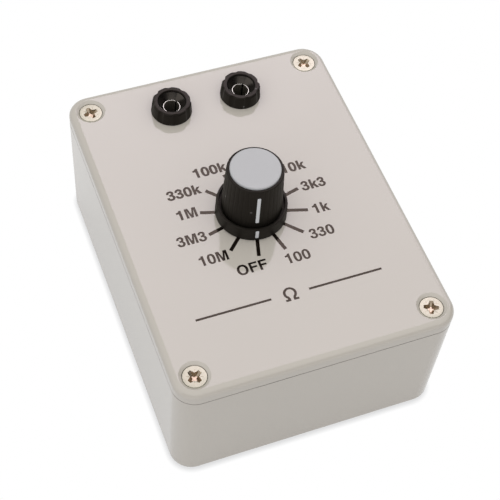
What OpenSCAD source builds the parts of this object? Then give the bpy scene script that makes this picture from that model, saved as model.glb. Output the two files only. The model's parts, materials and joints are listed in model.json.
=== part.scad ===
// Resistance substitution box: a moulded case with a screwed lid, two 4 mm sockets and a
// twelve-position rotary selector that puts one resistor, or none, across the sockets.
// The origin is the middle of the underside, +Z is up and the sockets are towards +Y.

/* [Case] */
// Outer width of the case, left to right
case_w = 76; // [72:0.5:100]
// Outer length of the case, front to back
case_l = 100; // [94:0.5:140]
// Height of the base, up to the parting line
base_h = 37; // [34:0.5:60]
// Height of the lid's edge
lid_h = 4; // [3.6:0.1:6]
// Radius of the upright corners
corner_r = 6.1; // [5:0.1:8]
// Thickness of the base's side walls
wall = 2.2; // [1.6:0.1:3]
// Thickness of the base's floor
floor_t = 2.2; // [1.6:0.1:4]
// Thickness of the lid's plate
lid_plate = 2.5; // [1.8:0.1:3]
// Draft of each side over the height of the base
draft = 0.35; // [0.1:0.05:0.8]
// Rounding of the lid's top edge
lid_round = 1.85; // [0.8:0.05:2.6]
// Rounding of the base's bottom edge
base_round = 1.7; // [0.8:0.05:3]
// Depth of the groove along the parting line
seam = 0.25; // [0.1:0.05:0.5]
// Depth of the lid's locating lip
lip_h = 1.8; // [1:0.1:4]
// Thickness of the lid's locating lip
lip_t = 1.4; // [1:0.1:2]
// Gap between the lip and the walls and posts it fits between
lip_clear = 0.15; // [0.1:0.05:0.4]

/* [Lid screws] */
// Distance of each screw from the two nearest sides
screw_inset = 6; // [5.6:0.1:8]
// Diameter of the screw's thread
screw_d = 3; // [2.5:0.1:3.5]
// Length of the screw under its head
screw_l = 14; // [10:1:25]
// Diameter of the screw's head
head_d = 6.3; // [5.5:0.1:7]
// Height of the screw's head
head_h = 2; // [1.6:0.1:2.4]
// Depth of the head's top below the lid
head_sink = 0.7; // [0.2:0.1:1]
// Gap round the head in its counterbore
head_clear = 0.25; // [0.15:0.05:0.4]
// Rounding of the counterbore's upper edge
bore_round = 0.75; // [0.3:0.05:0.8]
// Gap round the thread in the lid's hole
screw_clear = 0.2; // [0.1:0.05:0.4]

/* [Sockets] */
// Distance between the two sockets
socket_pitch = 20.4; // [17:0.1:30]
// Place of the sockets' middle to the right of the case's middle
socket_x = -0.3; // [-4:0.1:4]
// Distance of the sockets from the back edge
socket_inset = 12.3; // [11:0.1:20]
// Bore of the contact sleeve
plug_d = 4; // [3.8:0.05:4.2]
// Depth of the contact sleeve's bore
sleeve_depth = 13.5; // [11:0.5:16]
// Thickness of the contact sleeve
sleeve_t = 0.45; // [0.3:0.05:0.7]
// Width of the slit in the contact sleeve
slit_w = 0.5; // [0.3:0.05:0.8]
// Diameter of the head where it meets the lid
socket_base_d = 11.4; // [10.8:0.1:13]
// Diameter of the head at its rim
socket_rim_d = 10.8; // [9.6:0.1:11]
// Height of the head above the lid
socket_h = 4; // [3.4:0.1:6]
// Diameter of the mouth at the rim
mouth_d = 7.3; // [6.5:0.1:7.6]
// Depth from the rim to the contact sleeve
mouth_depth = 2.3; // [1:0.1:2.8]
// Depth of the finger notches at the rim
notch_depth = 0.6; // [0.2:0.05:0.8]
// Diameter of the threaded barrel
barrel_d = 8; // [7:0.1:9]
// Length of the barrel below the lid's top
barrel_l = 13; // [11:0.5:18]
// Nut size across its flats
socket_nut_af = 11; // [10:0.5:13]
// Thickness of the nut
socket_nut_h = 3; // [2:0.1:4]

/* [Knob] */
// Height of the knob's cap above the lid
knob_h = 18.6; // [18:0.1:24]
// Diameter of the knob's body at its foot
knob_foot_d = 16.3; // [15.8:0.1:16.4]
// Diameter of the knob's body at its rim
knob_rim_d = 14.9; // [14.6:0.1:15.6]
// Depth of the grip flutes
flute_depth = 0.1; // [0.05:0.05:0.3]
// Diameter of the cap
cap_d = 13.6; // [13:0.1:13.8]
// Diameter of the skirt at its foot
skirt_d = 19.15; // [18.9:0.05:24]
// Diameter of the skirt at its top edge
skirt_top_d = 18.9; // [18.8:0.05:22]
// Height of the skirt
skirt_h = 4.2; // [4:0.1:5]
// Gap between the skirt and the lid
skirt_gap = 0.3; // [0.2:0.1:0.8]
// Width of the groove between the skirt's lip and the knob's body
groove_w = 0.6; // [0.2:0.05:0.6]
// Width of the pointer line
pointer_w = 0.9; // [0.8:0.05:1.6]
// Angle by which the pointer is set on from the switch's first place
pointer_turn = 3.5; // [-15:0.5:15]

/* [Selector switch] */
// Place of the selector's axis to the right of the case's middle
selector_x = -1.65; // [-6:0.05:6]
// Place of the selector's axis behind the case's middle
selector_y = -1.85; // [-8:0.05:4]
// Diameter of the shaft
shaft_d = 6.35; // [6:0.05:6.4]
// Running gap round the shaft in its bush
shaft_clear = 0.05; // [0.02:0.01:0.1]
// Diameter of the threaded bush
bush_d = 9.5; // [9:0.1:9.6]
// Height of the bush above the lid
bush_h = 5.4; // [4:0.1:5.6]
// Bush nut size across its flats
bush_nut_af = 12.7; // [12:0.1:13]
// Thickness of the bush nut
bush_nut_h = 2; // [1.5:0.1:2.2]
// Diameter of the bush washer
bush_washer_d = 13; // [12:0.1:14]
// Thickness of the bush washer
bush_washer_t = 0.5; // [0.3:0.05:0.6]
// Gap round the bush and the socket barrels in the lid
hole_clear = 0.1; // [0.05:0.05:0.3]
// Diameter of the switch drum
drum_d = 26; // [25:0.5:30]
// Height of the switch drum
drum_h = 12; // [11.5:0.1:14]
// Thickness of the drum's wall at the detent ridges
drum_wall = 1.75; // [1.3:0.05:2]
// Depth of the detent notches in the drum
detent_depth = 0.5; // [0.3:0.05:0.8]
// Diameter of the detent balls
ball_d = 3; // [2.6:0.1:3.2]
// Thickness of the switch's front plate
front_t = 2; // [1.5:0.1:3]
// Thickness of the contact wafer
wafer_t = 2; // [1.5:0.1:3]
// Diameter of the ring of contacts
contact_ring_d = 19; // [18:0.1:20]
// Length of the contact pins below the wafer
pin_l = 4.5; // [3.5:0.1:6]

/* [Resistors and wiring] */
// Length of a resistor's body
resistor_l = 6.8; // [5:0.1:8]
// Diameter of a resistor's body
resistor_d = 2.5; // [2:0.1:3]
// Length of a resistor's lead at each end
resistor_lead_l = 1.6; // [1:0.1:2.5]
// Diameter of the bus wire
bus_d = 0.8; // [0.6:0.05:1]
// Diameter of the hook-up leads
lead_d = 1.6; // [1.2:0.1:2]
// Bend radius of the hook-up leads
lead_bend = 3.5; // [3:0.1:4]

/* [Hidden] */
$fn = 96;
SIDES = ["left", "right"];
VALUES = ["10m", "3m3", "1m", "330k", "100k", "33k", "10k", "3k3", "1k", "330r", "100r"];
POSITIONS = len(VALUES) + 1;

// Colours of the finishes.
case_grey = [0.83, 0.81, 0.78];
plastic_black = [0.13, 0.12, 0.11];
cap_grey = [0.74, 0.74, 0.75];
pointer_white = [0.92, 0.92, 0.9];
nickel = [0.86, 0.82, 0.75];
brass = [0.8, 0.64, 0.32];
steel = [0.66, 0.67, 0.68];
switch_tan = [0.42, 0.3, 0.2];
resistor_blue = [0.42, 0.62, 0.72];
copper_tinned = [0.78, 0.76, 0.72];

// Small overlap that lets a cut run clear of a face.
cut = 0.5;
// Gap left between pieces that are pressed or screwed together.
seat_clear = 0.02;
// Gap between moving and fixed pieces that pass each other.
run_clear = 0.1;
// Points on each rounded edge.
round_steps = 6;

// Heights of the case.
lid_top = base_h + lid_h;
lid_under = lid_top - lid_plate;

// Lid screws: each cross is left at its own angle.
screw_turns = [[-1, -1, 28], [1, -1, 66], [-1, 1, 13], [1, 1, 24]];
post_bite = 0.5;
post_r = screw_inset - wall + post_bite;
head_z = lid_top - head_sink - head_h;
cross_w = 0.95;
cross_l = 4;
cross_depth = 1.2;
head_edge = 0.3;
pilot_spare = 1;
skim = 0.008;

// Sockets.
socket_y = case_l / 2 - socket_inset;
rim_edge = 0.35;
notch_count = 8;
notch_r = 1.3;
notch_foot = 0.5;
sleeve_r = plug_d / 2 + sleeve_t;
mouth_shelf = 0.3;
sleeve_top = lid_top + socket_h - mouth_depth;
sleeve_floor = sleeve_top - sleeve_depth;
slit_stop = 4;
slit_l = sleeve_depth - slit_stop;
slit_turns = [37, 54];
notch_turns = [37, 44];
tail_r = 1.5;
tail_l = 3.5;
tail_web = 1.5;
cup_r = 0.8;
cup_depth = 2;

// Dial: the resting place is OFF, and each step is one position clockwise from it.
rest_angle = -105;
step_angle = 360 / POSITIONS;
function dial_angle(i) = rest_angle - i * step_angle;

// Switch, from the lid downwards.
front_z = lid_under - front_t;
drum_z = front_z - drum_h;
wafer_z = drum_z - wafer_t;
pin_end = wafer_z - pin_l;
peg_r = 1.2;
peg_h = 1.2;
peg_inset = 2.5;
peg_reach = drum_d / 2 - peg_inset;
ridge_r = drum_d / 2 - drum_wall;
notch_reach = ridge_r + detent_depth;
notch_cut_r = 2;
stop_t = 1;
stop_band = 2.25;
stop_inner_r = ridge_r - stop_band;
stop_tab_l = 2;
stop_tab_r = stop_inner_r - stop_tab_l;
stop_spare_angle = 0.25;
stop_half_angle = step_angle / 4 - stop_spare_angle;
shaft_r = shaft_d / 2;
flange_w = 2.3;
flange_r = shaft_r + flange_w;
rotor_room = 0.5;
rotor_top = front_z - stop_t - rotor_room;
wiper_room = 3;
rotor_z = drum_z + wiper_room;
rotor_inset = 1.45;
rotor_r = ridge_r - rotor_inset;
rotor_socket = 2.4;
ball_rise = 2.8;
ball_z = rotor_z + ball_rise;
ball_reach = ridge_r - run_clear - ball_d / 2;
spring_wire_r = 0.2;
spring_turns = 11;
spring_half = ball_reach - ball_d / 2;
spring_r = ball_d / 2 - spring_wire_r - run_clear;
wiper_t = 0.4;
contact_head_r = 1.1;
contact_head_t = 0.6;
pin_r = 0.7;
contact_r = contact_ring_d / 2;
common_r = 4;
common_half_w = 1.1;
common_angle = 165;
common_pin_l = 1.5;

// Knob, measured up from the lid's top.
pointer_angle = rest_angle + pointer_turn;
skirt_top = skirt_gap + skirt_h;
shelf_t = 0.6;
shelf_clear = 0.2;
skirt_shelf = bush_washer_t + bush_nut_h + shelf_clear;
knob_seat = skirt_shelf + shelf_t;
nut_clear = 0.55;
skirt_inner_r = bush_nut_af / 2 / cos(30) + nut_clear;
bush_clear = 0.3;
spigot_t = 0.45;
spigot_inner_r = bush_d / 2 + bush_clear;
spigot_r = spigot_inner_r + spigot_t;
bush_room = 0.5;
chamber_top = bush_h + bush_room;
collet_t = 1.2;
collet_r = shaft_r + collet_t;
stud_r = 2.5;
cap_proud = 0.6;
knob_rim = knob_h - cap_proud;
cap_t = 1.3;
cap_seat = knob_h - cap_t;
web_t = 1.6;
nut_room = 2.7;
web_z = cap_seat - nut_room - web_t;
shaft_room = 0.6;
shaft_top = web_z - shaft_room;
collet_gap = 0.3;
collet_z = chamber_top + collet_gap;
collet_root = 1.5;
collet_slit = 0.7;
collet_nut_af = 7;
collet_nut_h = 2.2;
cap_ledge = 0.45;
recess_r = cap_d / 2 - cap_ledge;
rim_round = 0.3;
foot_round = 0.2;
flute_count = 36;
flute_r = 0.5;
inlay_depth = 0.4;
line_foot = 2.45;
line_head = 2.5;
pointer_low = knob_seat + line_foot;
pointer_high = knob_rim - line_head;
tick_foot = 0.9;
tick_head = 0.45;
tick_low = skirt_gap + tick_foot;
tick_high = skirt_top - tick_head;

// Wiring.
resistor_lead_r = 0.35;
resistor_end = pin_end - 2 * resistor_lead_l - resistor_l;
bus_z = resistor_end - bus_d / 2;
bus_stub_l = 3.5;
bus_stub_r = contact_r + bus_stub_l;
lead_drop = 0.5;
bare_r = 0.4;
tail_end = sleeve_floor - tail_web - tail_l;

// Points along an arc about a centre, from one angle to another.
function arc(centre, r, from, to) =
    [for (i = [0 : round_steps]) let (a = from + (to - from) * i / round_steps)
        centre + r * [cos(a), sin(a)]];

// How far the drafted side stands out from the plan of the parting line at a height.
function drafted(z) = -draft * (1 - z / base_h);

function side_sign(side) = side == "left" ? -1 : 1;
function socket_place(side) = [socket_x + side_sign(side) * socket_pitch / 2, socket_y];
function of_side(pair, side) = pair[side == "left" ? 0 : 1];
function polar(r, a) = [r * cos(a), r * sin(a)];
selector_place = [selector_x, selector_y];

// Distance from the selector's axis at which the knob's sloping side stands at a height.
function knob_side(z) =
    let (k = (z - knob_seat) / (knob_rim - knob_seat))
        knob_foot_d / 2 + k * (knob_rim_d - knob_foot_d) / 2;
function skirt_side(z) =
    let (k = (z - skirt_gap) / skirt_h)
        skirt_d / 2 + k * (skirt_top_d - skirt_d) / 2;

// A block with rounded upright corners, whose side follows a list of [stand-out, height] points.
module block(w, l, r, side) {
    last = len(side) - 1;
    function section(half) = concat(
        [for (p = side) [half + p[0], p[1]]],
        [for (i = [last : -1 : 0]) [-half - side[i][0], side[i][1]]]
    );
    translate([0, l / 2 - r, 0])
        rotate([90, 0, 0])
            linear_extrude(l - 2 * r)
                polygon(section(w / 2));
    translate([r - w / 2, 0, 0])
        rotate([90, 0, 90])
            linear_extrude(w - 2 * r)
                polygon(section(l / 2));
    corner = concat([[0, side[0][1]]], [for (p = side) [r + p[0], p[1]]], [[0, side[last][1]]]);
    for (quarter = [[1, 1, 0], [-1, 1, 90], [-1, -1, 180], [1, -1, 270]])
        translate([quarter[0] * (w / 2 - r), quarter[1] * (l / 2 - r), 0])
            rotate(quarter[2])
                rotate_extrude(angle = 90)
                    polygon(corner);
}

// A block inside the case, a distance in from its sides and between two heights.
module inner_block(inset, low, high) {
    block(case_w - 2 * inset, case_l - 2 * inset, corner_r - inset, [[0, low], [0, high]]);
}

module at_screws() {
    for (s = screw_turns)
        translate([s[0] * (case_w / 2 - screw_inset), s[1] * (case_l / 2 - screw_inset), 0])
            rotate(s[2])
                children();
}

module at_socket(side) {
    translate(socket_place(side))
        children();
}

module at_selector() {
    translate(selector_place)
        children();
}

module hex_nut(af, h, bore_r) {
    difference() {
        cylinder(h = h, d = af / cos(30), $fn = 6);
        translate([0, 0, -cut])
            cylinder(h = h + 2 * cut, r = bore_r);
    }
}

// A ring standing on z = 0, or part of one when an angle is given.
module ring(inner_r, outer_r, h, angle = 360) {
    rotate_extrude(angle = angle)
        translate([inner_r, 0])
            square([outer_r - inner_r, h]);
}

module base_case() {
    outside = concat(
        arc([drafted(base_round) - base_round, base_round], base_round, -90, 0),
        [[0, base_h - seam], [-seam, base_h]]
    );
    inside = [for (z = [floor_t, base_h + cut]) [drafted(z), z]];
    pilot_depth = screw_l - (head_z - base_h) + pilot_spare;
    color(case_grey)
        difference() {
            block(case_w, case_l, corner_r, outside);
            difference() {
                block(case_w - 2 * wall, case_l - 2 * wall, corner_r - wall, inside);
                at_screws()
                    cylinder(h = base_h + 2 * cut, r = post_r);
            }
            at_screws()
                translate([0, 0, base_h - pilot_depth])
                    cylinder(h = pilot_depth + cut, r = screw_d / 2 + seat_clear);
        }
}

module lid() {
    outside = concat(
        [[-seam, base_h], [0, base_h + seam]],
        arc([-lid_round, lid_top - lid_round], lid_round, 0, 90)
    );
    lip_inset = wall + lip_clear;
    lip_low = base_h - lip_h;
    bore_r = head_d / 2 + head_clear;
    bore = concat(
        [[0, lid_top + cut], [0, head_z], [bore_r, head_z]],
        arc([bore_r + bore_round, lid_top - bore_round + skim], bore_round, 180, 90),
        [[bore_r + bore_round, lid_top + cut]]
    );
    color(case_grey)
        difference() {
            union() {
                difference() {
                    union() {
                        block(case_w, case_l, corner_r, outside);
                        inner_block(lip_inset, lip_low, base_h + cut);
                    }
                    inner_block(lip_inset + lip_t, lip_low - cut, lid_under);
                    at_screws()
                        translate([0, 0, lip_low - cut])
                            cylinder(h = lip_h + cut, r = post_r + lip_clear);
                }
                at_screws()
                    translate([0, 0, base_h])
                        cylinder(h = lid_under - base_h + cut, r = post_r);
            }
            at_screws() {
                rotate_extrude()
                    polygon(bore);
                translate([0, 0, base_h - cut])
                    cylinder(h = lid_h, r = screw_d / 2 + screw_clear);
            }
            for (s = SIDES)
                at_socket(s)
                    translate([0, 0, base_h])
                        cylinder(h = lid_h + cut, d = barrel_d + 2 * hole_clear);
            at_selector() {
                translate([0, 0, base_h])
                    cylinder(h = lid_h + cut, d = bush_d + 2 * hole_clear);
                translate([0, peg_reach, lid_under - cut])
                    cylinder(h = peg_h + hole_clear + cut, r = peg_r + hole_clear);
            }
        }
}

module lid_screws() {
    head_r = head_d / 2;
    head = [[0, 0], [head_r, 0], [head_r, head_h - head_edge], [head_r - head_edge, head_h], [0, head_h]];
    color(nickel)
        at_screws()
            translate([0, 0, head_z])
                difference() {
                    union() {
                        rotate_extrude()
                            polygon(head);
                        translate([0, 0, -screw_l])
                            cylinder(h = screw_l, d = screw_d);
                    }
                    for (turn = [0, 90])
                        rotate(turn)
                            translate([-cross_l / 2, -cross_w / 2, head_h - cross_depth])
                                cube([cross_l, cross_w, cross_depth + cut]);
                }
}

// Fluted head above the lid, a wide mouth that narrows to the contact, and a barrel below.
module socket_body(side) {
    base_r = socket_base_d / 2;
    rim_r = socket_rim_d / 2;
    barrel_r = barrel_d / 2;
    bore_r = sleeve_r + seat_clear;
    shelf = socket_h - mouth_depth;
    section = [
        [bore_r, -barrel_l], [barrel_r, -barrel_l], [barrel_r, 0], [base_r, 0],
        [rim_r, socket_h - rim_edge], [rim_r - rim_edge, socket_h], [mouth_d / 2, socket_h],
        [sleeve_r + mouth_shelf, shelf], [bore_r, shelf]
    ];
    notch_axis = rim_r - notch_depth + notch_r;
    notch_tilt = atan((base_r + notch_r - notch_axis) / (socket_h - notch_foot));
    color(plastic_black)
        at_socket(side)
            translate([0, 0, lid_top])
                difference() {
                    rotate_extrude()
                        polygon(section);
                    for (i = [0 : notch_count - 1])
                        rotate(of_side(notch_turns, side) + i * 360 / notch_count)
                            translate([notch_axis, 0, socket_h])
                                rotate([0, -notch_tilt, 0])
                                    translate([0, 0, notch_foot - socket_h])
                                        cylinder(h = 2 * socket_h, r = notch_r);
                }
}

// Turned spring contact: a slit sleeve for the plug, with a solder cup at its tail.
module socket_sleeve(side) {
    bore_r = plug_d / 2;
    section = [
        [0, -tail_web], [tail_r, -tail_web], [tail_r, -tail_web - tail_l], [cup_r, -tail_web - tail_l],
        [cup_r, -tail_web - tail_l + cup_depth], [0, -tail_web - tail_l + cup_depth]
    ];
    tube = [
        [0, -tail_web], [sleeve_r, -tail_web], [sleeve_r, sleeve_depth], [bore_r, sleeve_depth],
        [bore_r, 0], [0, 0]
    ];
    color(nickel)
        at_socket(side)
            translate([0, 0, sleeve_floor])
                difference() {
                    union() {
                        rotate_extrude()
                            polygon(tube);
                        rotate_extrude()
                            polygon(section);
                    }
                    rotate(of_side(slit_turns, side))
                        translate([0, -slit_w / 2, sleeve_depth - slit_l])
                            cube([2 * sleeve_r, slit_w, slit_l + cut]);
                }
}

module socket_nuts() {
    color(nickel)
        for (s = SIDES)
            at_socket(s)
                translate([0, 0, lid_under - socket_nut_h])
                    hex_nut(socket_nut_af, socket_nut_h, barrel_d / 2 + seat_clear);
}

// Die-cast front plate with the threaded bush and the peg that stops the switch turning.
module switch_front() {
    color(steel)
        at_selector()
            difference() {
                union() {
                    translate([0, 0, front_z])
                        cylinder(h = front_t, d = drum_d);
                    translate([0, 0, front_z])
                        cylinder(h = lid_top + bush_h - front_z, d = bush_d);
                    translate([0, peg_reach, front_z])
                        cylinder(h = front_t + peg_h, r = peg_r);
                }
                translate([0, 0, front_z - cut])
                    cylinder(h = lid_top + bush_h - front_z + 2 * cut, r = shaft_r + shaft_clear);
            }
}

module bush_washer() {
    color(steel)
        at_selector()
            translate([0, 0, lid_top])
                ring(bush_d / 2 + seat_clear, bush_washer_d / 2, bush_washer_t);
}

module bush_nut() {
    color(nickel)
        at_selector()
            translate([0, 0, lid_top + bush_washer_t])
                hex_nut(bush_nut_af, bush_nut_h, bush_d / 2 + seat_clear);
}

// Drum with one detent notch for each position round the inside of its wall.
module switch_drum() {
    color(switch_tan)
        at_selector()
            difference() {
                translate([0, 0, drum_z])
                    cylinder(h = drum_h, d = drum_d);
                translate([0, 0, drum_z - cut])
                    cylinder(h = drum_h + 2 * cut, r = ridge_r);
                for (i = [0 : POSITIONS - 1])
                    rotate(dial_angle(i))
                        translate([notch_reach - notch_cut_r, 0, drum_z - cut])
                            cylinder(h = drum_h + 2 * cut, r = notch_cut_r);
            }
}

// Stop washer: keyed into a detent notch, with a tab that ends the rotor's turn both ways.
module stop_ring() {
    key = notch_reach - notch_cut_r;
    stop_angle = rest_angle + step_angle / 2;
    color(steel)
        at_selector()
            translate([0, 0, front_z - stop_t]) {
                difference() {
                    union() {
                        cylinder(h = stop_t, r = ridge_r - run_clear);
                        rotate(rest_angle)
                            translate([key, 0, 0])
                                cylinder(h = stop_t, r = notch_cut_r - run_clear);
                    }
                    translate([0, 0, -cut])
                        cylinder(h = stop_t + 2 * cut, r = stop_inner_r);
                }
                rotate(stop_angle - stop_half_angle)
                    ring(stop_tab_r, stop_inner_r + run_clear, stop_t, 2 * stop_half_angle);
            }
}

module contact_wafer() {
    color(switch_tan)
        at_selector()
            difference() {
                translate([0, 0, wafer_z])
                    cylinder(h = wafer_t, d = drum_d);
                for (i = [0 : POSITIONS - 1])
                    translate(concat(polar(contact_r, dial_angle(i)), wafer_z - cut))
                        cylinder(h = wafer_t + 2 * cut, r = pin_r + seat_clear);
                translate(concat(polar(common_r, common_angle), wafer_z - cut))
                    cylinder(h = wafer_t + 2 * cut, r = pin_r + seat_clear);
            }
}

// Contact ring that the wiper's inner foot slides on, with the pin of the common terminal.
module common_contact() {
    color(brass)
        at_selector() {
            translate([0, 0, drum_z])
                ring(common_r - common_half_w, common_r + common_half_w, contact_head_t);
            translate(concat(polar(common_r, common_angle), wafer_z - common_pin_l))
                cylinder(h = drum_z - wafer_z + common_pin_l + contact_head_t / 2, r = pin_r);
        }
}

module contact_pin(i) {
    color(brass)
        at_selector()
            translate(polar(contact_r, dial_angle(i))) {
                translate([0, 0, drum_z])
                    cylinder(h = contact_head_t, r = contact_head_r);
                translate([0, 0, pin_end])
                    cylinder(h = drum_z - pin_end + contact_head_t / 2, r = pin_r);
            }
}

// Film resistor hanging from its contact pin, with its far lead on the bus wire.
module resistor(i) {
    end_r = resistor_d / 2;
    waist_sink = 0.15;
    waist_r = end_r - waist_sink;
    low = resistor_lead_l;
    high = low + resistor_l;
    bulge = 1.5;
    shoulder = 0.35;
    section = [
        [0, 0], [resistor_lead_r, 0], [resistor_lead_r, low], [end_r - shoulder, low],
        [end_r, low + shoulder], [end_r, low + bulge], [waist_r, low + bulge + shoulder],
        [waist_r, high - bulge - shoulder], [end_r, high - bulge], [end_r, high - shoulder],
        [end_r - shoulder, high],
        [resistor_lead_r, high], [resistor_lead_r, high + resistor_lead_l], [0, high + resistor_lead_l]
    ];
    color(resistor_blue)
        at_selector()
            translate(concat(polar(contact_r, dial_angle(i)), resistor_end))
                rotate_extrude()
                    polygon(section);
}

// Bare wire joining the resistors' far ends: open at OFF, with a stub towards the right socket.
module bus_wire() {
    reach = socket_place("right") - selector_place;
    color(copper_tinned)
        at_selector()
            translate([0, 0, bus_z]) {
                rotate(rest_angle + step_angle / 2)
                    rotate_extrude(angle = 360 - step_angle)
                        translate([contact_r, 0])
                            circle(d = bus_d);
                rotate([0, 90, atan2(reach[1], reach[0])])
                    translate([0, 0, contact_r])
                        cylinder(h = bus_stub_r - contact_r, r = resistor_lead_r);
            }
}

// Quarter bend of a lead in the XZ plane, about its own centre and starting at an angle.
module lead_quarter(from) {
    rotate([90, 0, 0])
        rotate(from)
            rotate_extrude(angle = 90)
                translate([lead_bend, 0])
                    circle(d = lead_d);
}

// Run of a lead along +X at z = 0, turning up at its end to a solder cup above.
module lead_run(from, to, rise) {
    translate([from, 0, 0])
        rotate([0, 90, 0])
            cylinder(h = to - lead_bend - from, d = lead_d);
    translate([to - lead_bend, 0, lead_bend])
        lead_quarter(-90);
    translate([to, 0, lead_bend])
        cylinder(h = rise - lead_bend, d = lead_d);
    translate([to, 0, rise - cut])
        cylinder(h = cup_depth + cut, r = bare_r);
}

// Lead from the common pin, out between two contact pins, to the left socket.
module lead_left() {
    start = selector_place + polar(common_r, common_angle);
    reach = socket_place("left") - start;
    top = wafer_z - common_pin_l;
    run_z = top - lead_drop - lead_bend;
    color("firebrick")
        translate(concat(start, run_z))
            rotate(atan2(reach[1], reach[0])) {
                translate([0, 0, lead_bend])
                    cylinder(h = lead_drop, d = lead_d);
                translate([lead_bend, 0, lead_bend])
                    lead_quarter(180);
                lead_run(lead_bend, norm(reach), tail_end - run_z);
            }
}

// Lead from the bus wire's stub to the right socket.
module lead_right() {
    reach = socket_place("right") - selector_place;
    color("dimgray")
        translate(concat(selector_place, bus_z))
            rotate(atan2(reach[1], reach[0]))
                lead_run(bus_stub_r, norm(reach), tail_end - bus_z);
}

module shaft() {
    foot = rotor_top - rotor_socket + seat_clear;
    color(steel)
        at_selector() {
            translate([0, 0, foot])
                cylinder(h = lid_top + shaft_top - foot, r = shaft_r);
            translate([0, 0, rotor_top])
                cylinder(h = front_z - run_clear - rotor_top, r = flange_r);
        }
}

// Rotor on the shaft's foot: a cross bore for the detent and a lug that meets the stop tab.
module rotor() {
    lug_gap = 0.2;
    color(switch_tan)
        at_selector() {
            difference() {
                translate([0, 0, rotor_z])
                    cylinder(h = rotor_top - rotor_z, r = rotor_r);
                translate([0, 0, rotor_top - rotor_socket])
                    cylinder(h = rotor_socket + cut, r = shaft_r + seat_clear);
                translate([0, 0, ball_z])
                    rotate([0, 90, rest_angle])
                        cylinder(h = 2 * rotor_r + 2 * cut, d = ball_d + 2 * seat_clear, center = true);
            }
            translate([0, 0, rotor_top - cut])
                rotate(rest_angle - stop_half_angle)
                    ring(stop_tab_r + lug_gap, stop_inner_r - lug_gap, stop_t + cut, 2 * stop_half_angle);
        }
}

// Spring strip under the rotor, bridging the common ring and the contact of one position.
module wiper() {
    foot_low = drum_z + contact_head_t + run_clear;
    foot_h = rotor_z - wiper_t / 2 - foot_low;
    color(brass)
        at_selector()
            rotate(rest_angle) {
                translate([0, 0, rotor_z - wiper_t]) {
                    cylinder(h = wiper_t, r = common_r + common_half_w);
                    translate([0, -contact_head_r, 0])
                        cube([contact_r, 2 * contact_head_r, wiper_t]);
                    translate([contact_r, 0, 0])
                        cylinder(h = wiper_t, r = contact_head_r);
                }
                for (r = [common_r, contact_r])
                    translate([r, 0, foot_low])
                        cylinder(h = foot_h, r = pin_r);
            }
}

// Compression spring between the balls: a round wire swept along a helix.
module detent_spring() {
    rings_a_turn = 10;
    rings = spring_turns * rings_a_turn;
    sides = 6;
    half = spring_half - spring_wire_r;
    function outward(t) = [0, cos(360 * spring_turns * t), sin(360 * spring_turns * t)];
    function centre(t) = [half * (2 * t - 1), 0, 0] + spring_r * outward(t);
    points = [for (k = [0 : rings]) for (s = [0 : sides - 1])
        let (t = k / rings, a = 360 * s / sides)
            centre(t) + spring_wire_r * (cos(a) * outward(t) + sin(a) * [1, 0, 0])];
    walls = [for (k = [0 : rings - 1]) for (s = [0 : sides - 1])
        let (n = (s + 1) % sides, a = k * sides, b = a + sides)
            each [[a + s, a + n, b + n], [a + s, b + n, b + s]]];
    ends = [[for (s = [sides - 1 : -1 : 0]) s], [for (s = [0 : sides - 1]) rings * sides + s]];
    color(steel)
        at_selector()
            translate([0, 0, ball_z])
                rotate(rest_angle)
                    polyhedron(points, concat(walls, ends));
}

module detent_balls() {
    color(steel)
        at_selector()
            translate([0, 0, ball_z])
                for (turn = [0, 180])
                    rotate(rest_angle + turn)
                        translate([ball_reach, 0, 0])
                            sphere(d = ball_d);
}

// Slit sleeve that grips the shaft, with a threaded stud that draws it up into the knob.
module collet() {
    section = [
        [shaft_r + seat_clear, collet_z], [collet_r, collet_z], [collet_r, web_z], [stud_r, web_z],
        [stud_r, web_z + web_t + collet_nut_h], [0, web_z + web_t + collet_nut_h],
        [0, shaft_top + seat_clear], [shaft_r + seat_clear, shaft_top + seat_clear]
    ];
    slit_h = shaft_top - collet_z - collet_root;
    color(brass)
        at_selector()
            translate([0, 0, lid_top])
                difference() {
                    rotate_extrude()
                        polygon(section);
                    for (turn = [0, 90])
                        rotate(turn)
                            translate([-2 * collet_r, -collet_slit / 2, collet_z - cut])
                                cube([4 * collet_r, collet_slit, slit_h + cut]);
                }
}

module collet_nut() {
    color(brass)
        at_selector()
            translate([0, 0, lid_top + web_z + web_t])
                hex_nut(collet_nut_af, collet_nut_h, stud_r + seat_clear);
}

// A strip of a sloping ring, as wide as the pointer, whose face runs from low_r to high_r.
// The spare widens it all round, to cut the pocket that it is set in.
module pointer_strip(low, high, low_r, high_r, spare) {
    half = pointer_w / 2 + spare;
    deep = inlay_depth + spare;
    rotate(pointer_angle)
        intersection() {
            rotate_extrude()
                polygon([[low_r - deep, low - spare], [low_r + spare, low - spare],
                    [high_r + spare, high + spare], [high_r - deep, high + spare]]);
            translate([0, -half, low - cut])
                cube([low_r + cut, 2 * half, high - low + 2 * cut]);
        }
}

module line_strip(spare) {
    pointer_strip(pointer_low, pointer_high, knob_side(pointer_low), knob_side(pointer_high), spare);
}

module tick_strip(spare) {
    pointer_strip(tick_low, tick_high, skirt_side(tick_low), skirt_side(tick_high), spare);
}

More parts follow.
